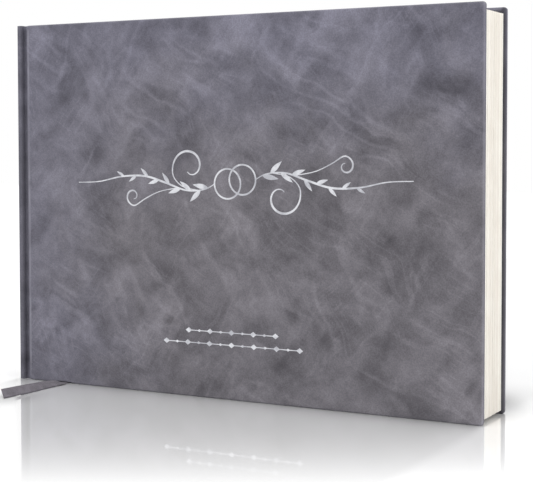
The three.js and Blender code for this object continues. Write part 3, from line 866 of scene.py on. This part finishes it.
def cut_copy(node, name, cut_x):
    """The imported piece's mesh, without what lies past the cut, and closed there."""
    mesh = bpy.data.meshes.new(name)
    b = bmesh.new()
    b.from_mesh(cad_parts[node].data)
    bmesh.ops.remove_doubles(b, verts=b.verts, dist=1e-6)
    bmesh.ops.dissolve_limit(
        b, angle_limit=math.radians(1.0), verts=b.verts, edges=b.edges, delimit=set()
    )
    whole = b.verts[:] + b.edges[:] + b.faces[:]
    bmesh.ops.bisect_plane(
        b, geom=whole, dist=1e-7, plane_co=(cut_x, 0, 0), plane_no=(1, 0, 0), clear_outer=True
    )
    open_edges = [e for e in b.edges if e.is_boundary]
    bmesh.ops.holes_fill(b, edges=open_edges, sides=0)
    bmesh.ops.recalc_face_normals(b, faces=b.faces)
    b.to_mesh(mesh)
    b.free()
    return mesh


def soften_edges(mesh, chosen, width):
    """Rounds the long edges whose two ends pass the test."""
    b = bmesh.new()
    b.from_mesh(mesh)
    edges = [e for e in b.edges if all(chosen(v.co) for v in e.verts) and e.calc_length() > 0.1]
    bmesh.ops.bevel(b, geom=edges, offset=width, segments=7, profile=0.5, affect="EDGES")
    b.to_mesh(mesh)
    b.free()


def make_spine_cloth():
    """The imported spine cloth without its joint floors, which the covers' cloth takes over."""
    mesh = cut_copy("spine_cloth", "spine_case_cloth", X0 + 3.91 * MM)

    def inner_corner(co):
        return co.x > X0 + 3.85 * MM and abs(co.y) > OUTER_Y - 0.05 * MM

    soften_edges(mesh, inner_corner, 1.5 * MM)
    b = bmesh.new()
    b.from_mesh(mesh)
    cuts = [((0, 0, z), (0, 0, 1)) for z in np.linspace(6, 210, 35) * MM]
    cuts += [((0, y, 0), (0, 1, 0)) for y in np.linspace(-17, 17, 13) * MM]
    for place, normal in cuts:
        whole = b.verts[:] + b.edges[:] + b.faces[:]
        bmesh.ops.bisect_plane(b, geom=whole, plane_co=place, plane_no=normal)
    b.to_mesh(mesh)
    b.free()
    x, y, z = np.array([v.co for v in mesh.vertices]).T
    y = np.abs(y)
    # Wear lightens the ridge's outer corner and the ends, where the cloth rubs; painted shade darkens the
    # ridge and the side towards the groove.
    corner = smoothstep(y, 17.6 * MM, 18.8 * MM) * (1 - smoothstep(x, X0 + 3.0 * MM, X0 + 3.6 * MM))
    ends = 1 - smoothstep(np.minimum(z, HEIGHT - z), 0.0, 0.7 * MM)
    ridge = smoothstep(y, 17.0 * MM, 18.6 * MM)
    inside = smoothstep(x, X0 + 2.2 * MM, X0 + 3.9 * MM)
    store_value(mesh, "wear_and_painted_highlight", np.clip(0.12 * corner + 0.3 * ends, 0, 1))
    store_value(mesh, "painted_shade", np.clip(0.35 * ridge + 0.25 * inside, 0, 1))
    obj = mesh_object(mesh, M_CLOTH, 35)
    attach(obj, "root")
    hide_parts("spine_cloth")


def make_board(word, side):
    """The cover's board, its joint edge softened under the cloth."""
    mesh = cut_copy(f"{word}_board", f"{word}_cover_board", FORE_X)

    def outer_joint_corner(co):
        return co.x < COVER_X + 0.2 * MM and side * co.y > 18.2 * MM

    soften_edges(mesh, outer_joint_corner, 2.4 * MM)
    obj = mesh_object(mesh, M_BOARD, 30)
    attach(obj, f"{word}_cover")
    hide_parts(f"{word}_board")


# ---- endpapers and sections

BEND = 14 * MM
STRIP_Y = 14.42 * MM
FLYLEAF_Y = 14.235 * MM
FOLDS_X = X0 + 5.95 * MM  # the folds' backs
LEAF_PITCH = 0.275  # millimetres
SECTION_PITCH = 2.2583 * MM
SHEETS = 4  # in a section
FOLD_REACH = 0.9625 * MM  # half the gap in the outermost of them


def make_pastedown(word, side):
    """The pasted half of the endpaper, with the narrow strip that crosses the inner joint."""
    window = FORE_X - TURN_IN
    xs = np.concatenate(
        [
            np.linspace(X0 + 4.6 * MM, X0 + 6.6 * MM, 9),
            np.linspace(X0 + 6.8 * MM, X0 + 7.8 * MM, 6),
            np.linspace(X0 + 12 * MM, window - 3.4 * MM, 40),
            window + np.array([-2.2, -1.4, -0.7, 0.0, 0.8, 3.0, 6.0, 9.0]) * MM,
            [PASTE_HI.x - 1.0 * MM, PASTE_HI.x],
        ]
    )
    low = PASTE_LO.z + np.array([0, 1.2, 4.0, 8.0, 11.0, 11.8, 12.5, 13.2, 14.0, 15.2]) * MM
    middle = np.linspace(low[-1] + 6 * MM, HEIGHT - 24 * MM, 26)
    zs = np.concatenate([low, middle, np.sort(HEIGHT - low)])
    grid_x, grid_z = np.meshgrid(xs, zs, indexing="ij")
    from_edge = np.minimum(np.minimum(FORE_X - grid_x, grid_z), HEIGHT - grid_z)
    in_window = smoothstep(from_edge, TURN_IN - 0.6 * MM, TURN_IN + 2.2 * MM)
    risen = smoothstep(grid_x, X0 + 6.5 * MM, X0 + 7.5 * MM)
    uneven = waves(np.random.default_rng(31 if side < 0 else 32), 6, 30, grid_x, grid_z)
    face = STRIP_Y + risen * 0.24 * MM + in_window * risen * (0.42 * MM + 0.012 * MM * uneven)
    back = 14.56 * MM + risen * 0.39 * MM + in_window * risen * 0.74 * MM
    slab = slab_between((grid_x, side * face, grid_z), (grid_x, side * back, grid_z))
    obj = finish_mesh(f"{word}_pasted_endpaper", *slab, M_ENDPAPER, 50)
    start, end = (HINGE_START, side * HINGE_Y, MIDDLE_Z), (HINGE_END, side * HINGE_Y, MIDDLE_Z)
    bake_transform(obj, "root", f"{word}_cover", start, end)
    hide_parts(f"{word}_pastedown")


def bow(x, z):
    """The block's very slight waviness, which every leaf shares so that none meets the next."""
    reach = smoothstep(x, X0 + 40 * MM, FORE_X)
    return reach * MM * (0.09 * np.sin(z * 31.0 + 0.6) + 0.06 * np.sin(z * 57.0 + x * 20.0))


def make_flyleaf(word, side):
    node = f"{word}_flyleaf"
    lo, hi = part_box(node)
    bent_to = lo.x + BEND
    near = np.linspace(X0 + 6.05 * MM, bent_to, 22)
    x = np.concatenate([near, np.linspace(bent_to + 8 * MM, hi.x, 34)])[:, None]
    z = np.linspace(lo.z, hi.z, 30)
    # The loose corner at the tail curls out by a fraction of a millimetre.
    curl = smoothstep(x, hi.x - 40 * MM, hi.x) * (1 - smoothstep(z, lo.z, lo.z + 40 * MM))
    middle = FLYLEAF_Y + side * bow(x, z) + 0.12 * MM * curl
    half = 0.095 * MM
    slab = slab_between((x, side * (middle + half), z), (x, side * (middle - half), z))
    obj = finish_mesh(f"{word}_flyleaf_sheet", *slab, M_ENDPAPER, 50)
    y = side * 14.2 * MM
    start, end = (lo.x - 1.5 * MM, y, MIDDLE_Z), (lo.x + BEND - 1 * MM, y, MIDDLE_Z)
    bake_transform(obj, "root", node, start, end)
    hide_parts(node)


def folded_sheet(centre_y, half_gap, trims):
    """One folded sheet's middle line, from leaf to fold to leaf, and the way to its surface."""
    near = np.linspace(0, 1, 16) ** 1.15 * (26 * MM)
    fold_x = FOLDS_X + FOLD_REACH
    far = np.linspace(fold_x + 46 * MM, LEAF_X, 14)
    xs = np.concatenate([fold_x + near, [fold_x + 34 * MM], far])
    leaves = [
        np.stack([np.minimum(xs, LEAF_X - trim), np.full_like(xs, y)], axis=-1)
        for trim, y in zip(trims, (-half_gap, half_gap))
    ]
    angles = np.radians(np.linspace(-90, -270, 7)[1:-1])
    fold = np.stack([fold_x + half_gap * np.cos(angles), half_gap * np.sin(angles)], axis=-1)
    path = np.concatenate([leaves[0][::-1], fold, leaves[1]])
    path[:, 1] += centre_y
    step = unit(np.gradient(path, axis=0))
    return path, np.stack([-step[:, 1], step[:, 0]], axis=-1) * (0.115 * MM)


def make_section(number):
    name = f"section_{number:02d}"
    lo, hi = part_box(name)
    rng = np.random.default_rng(100 + number)
    y = (lo.y + hi.y) / 2
    points, faces, tones = [], [], []
    shared = rng.uniform(0, 0.5)
    for sheet in range(SHEETS):
        trims = rng.uniform(0, 0.42, 2) * MM
        path, out = folded_sheet(y, (SHEETS - 0.5 - sheet) * LEAF_PITCH * MM, trims)
        low, high = lo.z + rng.uniform(0, 0.12) * MM, hi.z - rng.uniform(0, 0.12) * MM
        z = low + (high - low) * np.linspace(0, 1, 13)
        grids = [(p[:, :1], p[:, 1:] + bow(p[:, :1], z), z) for p in (path + out, path - out)]
        gather(points, faces, slab_between(*grids))
        first, second = shared + rng.uniform(0, 0.5, 2)
        tone = np.where(np.arange(len(path)) < len(path) / 2, first, second)
        tones += list(np.repeat(tone, len(z))) * 2
    obj = finish_mesh(f"{name}_leaves", points, faces, M_PAPER, 50, {"leaf_tone": tones}, 1e-9)
    if number in (6, 7):
        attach(obj, "root")
    else:
        start, end = (lo.x - 1.2 * MM, y, MIDDLE_Z), (lo.x + BEND - 1 * MM, y, MIDDLE_Z)
        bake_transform(obj, "root", f"leaves_{number:02d}", start, end)
    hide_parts(name)


SIDES = (("front", -1), ("back", 1))
for WORD, SIDE in SIDES:
    make_case_cloth(WORD, SIDE)
make_spine_cloth()
for WORD, SIDE in SIDES:
    make_board(WORD, SIDE)
for WORD, SIDE in SIDES:
    make_pastedown(WORD, SIDE)
    make_flyleaf(WORD, SIDE)
for NUMBER in range(1, 13):
    make_section(NUMBER)


# ---- the sewn and glued back of the block

THREAD_RADIUS = 0.11 * MM
THREAD_SIDES = 7
ROLL_SIDES = 20
ROLL_PITCH = 0.42 * MM


def tube(path, radius, sides):
    """Rings of a round tube along a path."""
    forward = unit(np.gradient(path, axis=0))
    side = np.cross(forward[0], ALONG_X)
    angles = np.linspace(0, 2 * math.pi, sides, endpoint=False)
    rings = []
    for point, ahead in zip(path, forward):
        side = side - ahead * np.dot(side, ahead)
        side /= np.linalg.norm(side)
        up = np.cross(side, ahead)
        ring = np.outer(np.cos(angles), side) + np.outer(np.sin(angles), up)
        rings.append(point + radius * ring)
    return rings


def make_glue():
    """The glue on the folds, uneven as it is brushed on."""
    lo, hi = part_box("glued_folds")
    y = np.linspace(-13.5, 13.5, 73)[:, None] * MM
    z = np.linspace(lo.z + 0.3 * MM, hi.z - 0.3 * MM, 60)
    ridge = np.abs(np.sin((y / SECTION_PITCH) * math.pi))
    lumps = np.random.default_rng(7).uniform(0, 0.03, (73, 60)) * MM
    top = (FOLDS_X - ridge * 0.1 * MM - lumps, y, z)
    under = (X0 + 6.1 * MM + (1 - ridge) * 0.15 * MM, y, z)
    glue = finish_mesh("glued_folds_coat", *slab_between(top, under), M_GLUE, 60)
    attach(glue, "root")
    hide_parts("glued_folds")


def make_thread():
    """The sewing thread, which crosses each tape once for every section."""
    t = np.linspace(0, 1, 13)
    x = FOLDS_X - np.sin(t * math.pi) ** 0.35 * 0.62 * MM
    points, faces, wound = [], [], []
    for tape in (1, 2, 3, 4):
        lo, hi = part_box(f"sewing_tape_{tape}")
        low, high = lo.z - 1.2 * MM, hi.z + 1.2 * MM
        for k in range(12):
            y = (k - 5.5) * SECTION_PITCH + 0.1 * MM * np.sin(t * 6.0 + k)
            path = np.stack([x, y, low + (high - low) * t], axis=-1)
            gather(points, faces, loft(tube(path, THREAD_RADIUS, THREAD_SIDES)))
            wound += list(np.repeat(lengths_along(path), THREAD_SIDES))
    thread = finish_mesh("sewing_thread", points, faces, M_THREAD, None, {"wound": wound}, 0)
    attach(thread, "root")


def make_headband(name, end):
    """A headband: silk wound over a core in two colours, on a cloth tail glued behind the folds."""
    lo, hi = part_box(name)
    edge, foot = (hi.z, lo.z) if end > 0 else (lo.z, hi.z)
    roll_z = edge - end * 0.9 * MM
    angles = np.linspace(0, 2 * math.pi, ROLL_SIDES, endpoint=False)
    rings, wound = [], []
    for y in np.linspace(-13.15, 13.15, 313) * MM:
        turn = y + angles / (2 * math.pi) * ROLL_PITCH
        radius = 0.83 * MM + 0.055 * MM * np.cos(2 * math.pi * turn / ROLL_PITCH)
        close = min(1.0, (13.16 * MM - abs(y)) / (0.5 * MM))
        radius = radius * (0.35 + 0.65 * math.sqrt(max(close, 0.0)))
        x, z = X0 + 7 * MM + radius * np.cos(angles), roll_z + radius * np.sin(angles)
        rings.append(np.stack([x, np.full(ROLL_SIDES, y), z], axis=-1))
        wound += list(turn + 0.02)
    roll = finish_mesh(f"{name}_roll", *loft(rings), M_HEADBAND, None, {"wound": wound}, 0)
    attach(roll, "root")
    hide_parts(name)

    # Its cloth tail runs from under the roll down behind the folds.
    t = np.linspace(0, 1, 14)[:, None]
    y = np.linspace(-12.9, 12.9, 41) * MM
    z = foot + (roll_z - end * 0.4 * MM - foot) * t
    x = X0 + 5.62 * MM + smoothstep(t, 0.72, 1.0) * 0.75 * MM
    x = x - 0.12 * MM + 0.03 * MM * np.sin(y / MM * 2.1)
    slab = slab_between((x, y, z), (x + 0.2 * MM, y, z))
    tail = finish_mesh(f"{name}_tail", *slab, M_TAIL, 50)
    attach(tail, "root")


make_glue()
make_thread()
make_headband("headband_head", 1)
make_headband("headband_tail", -1)


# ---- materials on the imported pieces


def dress(node, material):
    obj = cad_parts[node]
    if not obj.material_slots:
        obj.data.materials.append(material)
    for entry in obj.material_slots:
        entry.material = material


dress("spine_board", M_BOARD)
for NODE in ("foil_flourish", "foil_rule_upper", "foil_rule_lower"):
    dress(NODE, M_FOIL)
for NUMBER in (1, 2, 3, 4):
    dress(f"sewing_tape_{NUMBER}", M_TAPE)
dress("mull_lining", M_MULL)
dress("spine_lining_paper", M_LINING)


# ---- floor and light

FLOOR_Z = -0.00002
# The floor's white, and a whiter one painted past both ends of the book, as painted light.
FLOOR_WHITE, FLOOR_PAINTED_LIGHT_BESIDE = 0.8, 0.9
FLOOR_GLOSS = 0.51
GLOSS_REACH, GLOSS_POWER, GLOSS_ROUGHNESS = 0.2, 3.3, 0.035
GLOSS_TURN, GLOSS_LEFT, GLOSS_SLANT = 0.488, -0.1302, 0.192
# Painted shadows on the floor: along the front cover's foot, behind the back cover, and under the ribbon's
# end.
CONTACT_SHADE, CONTACT_REACH = 0.45, 0.010
SHADOW_SHADE, SHADOW_REACH = 0.85, 0.02
SHADOW_MIDDLE, SHADOW_SLANT = 0.022, 0.33
RIBBON_SHADE, RIBBON_MIDDLE, RIBBON_REACH = 0.3, (-0.112, -0.072), (0.009, 0.014)


def floor_material():
    """White, with a polish that fades in front of the book, and a soft painted shadow where it stands."""
    s = Shader("studio_floor", Roughness=0.6, Specular_IOR_Level=0.0)
    x, y, _ = s.split(s.place(False))

    # The polish: a strip in front of the book, which ends on a slanting line left of the spine.
    cos, sin = math.cos(GLOSS_TURN), math.sin(GLOSS_TURN)
    ahead = s.minus(s.times(x, sin), s.times(y, cos))
    along = s.plus(s.times(x, cos), s.times(y, sin))
    left = s.minus(along, s.plus(s.times(ahead, GLOSS_SLANT), GLOSS_LEFT))
    fade = s.times(
        s.minus(1.0, s.math("POWER", s.ramp(ahead, 0.0, GLOSS_REACH), GLOSS_POWER)),
        s.fit(y, OUTER_Y, OUTER_Y + 0.1, FLOOR_GLOSS, 0.0),
        s.fit(left, -0.004, 0.0),
    )

    # A painted shadow: a dark line along the foot of the front cover.
    front = s.minus(s.times(y, -1.0), OUTER_Y)
    near = s.math("DIVIDE", s.math("MAXIMUM", front, 0.0), -CONTACT_REACH)
    contact = s.times(
        s.math("EXPONENT", near),
        CONTACT_SHADE,
        s.fit(front, -0.003, 0.0),
        s.fit(x, FORE_X - 0.004, FORE_X + 0.003, 1.0, 0.0),
    )

    # A round painted shadow behind the back cover, which shows past its fore edge.
    behind = s.minus(y, OUTER_Y)
    off = s.math("DIVIDE", s.minus(behind, SHADOW_MIDDLE), SHADOW_REACH)
    off = s.math("MAXIMUM", off, s.times(off, s.fit(x, FORE_X - 0.012, FORE_X)))
    beside = s.plus(x, s.times(behind, SHADOW_SLANT))
    shadow = s.times(
        s.math("EXPONENT", s.times(off, off, -0.5)),
        s.fit(x, FORE_X - 0.04, FORE_X - 0.01, 0.45 * SHADOW_SHADE, SHADOW_SHADE),
        s.math("MAXIMUM", s.fit(behind, -0.003, 0.0), s.fit(x, FORE_X - 0.002, FORE_X)),
        s.fit(beside, FORE_X - 0.008, FORE_X + 0.016, 1.0, 0.0),
    )
    painted_shade = s.times(s.plus(contact, shadow), s.fit(x, -FORE_X - 0.003, -FORE_X + 0.004))

    # A faint painted shadow under the ribbon's end.
    squares = []
    for value, middle, reach in zip((x, y), RIBBON_MIDDLE, RIBBON_REACH):
        off = s.math("DIVIDE", s.minus(value, middle), reach)
        squares.append(s.times(off, off))
    under = s.math("EXPONENT", s.times(s.plus(*squares), -0.5))
    painted_shade = s.plus(painted_shade, s.times(under, RIBBON_SHADE))

    # Painted light: the floor is whiter past both ends of the book than in front of it, which lifts the
    # shade that falls there.
    past = s.minus(s.math("ABSOLUTE", x), FORE_X)
    past = s.math("MAXIMUM", s.fit(past, -0.004, 0.006), s.fit(left, -0.004, 0.0, 1.0, 0.0))
    white = s.times(s.minus(1.0, painted_shade), s.ramp(past, 0.0, 1.0, FLOOR_WHITE, FLOOR_PAINTED_LIGHT_BESIDE))
    s.feed(s.bsdf.inputs["Base Color"], s.grey(white))
    glossy = s.node("BsdfGlossy", {"Color": (1, 1, 1, 1), "Roughness": GLOSS_ROUGHNESS})
    mixed = s.node("MixShader", {0: fade, 1: s.bsdf.outputs[0], 2: glossy})
    s.feed(s.output.inputs["Surface"], mixed)
    return s.material


def make_floor(half):
    mesh = bpy.data.meshes.new("studio_floor")
    corners = [(-half, -half), (half, -half), (half, half), (-half, half)]
    mesh.from_pydata([(x, y, FLOOR_Z) for x, y in corners], [], [(0, 1, 2, 3)])
    mesh.materials.append(floor_material())
    add_object("studio_floor", mesh)


def make_light(name, kind, energy, place, target):
    data = bpy.data.lights.new(name, kind)
    data.energy = energy
    light = add_object(name, data)
    light.location = place
    light.rotation_mode = "QUATERNION"
    light.rotation_quaternion = (Vector(target) - Vector(place)).to_track_quat("-Z", "Y")
    return data


make_floor(3.0)
SOFTBOX = make_light("fore_edge_softbox", "AREA", 6.0, (1.6, 0.1, 0.5), (0.1, 0.0, 0.1))
SOFTBOX.shape, SOFTBOX.size = "DISK", 0.8
HIGH_LIGHT = make_light("high_soft_light", "SUN", 0.93, (0, 0, 0), (0.08, 0.25, -1.0))
HIGH_LIGHT.angle = math.radians(18.0)
WORLD = bpy.data.worlds.new("studio_white")
WORLD.use_nodes = True
BACKGROUND = WORLD.node_tree.nodes["Background"].inputs
BACKGROUND["Color"].default_value = (1, 1, 1, 1)
BACKGROUND["Strength"].default_value = 1.0
bpy.context.scene.world = WORLD
bpy.context.scene.view_settings.view_transform = "Standard"
bpy.context.scene.view_settings.look = "None"


# ---- the end

bpy.context.view_layer.update()
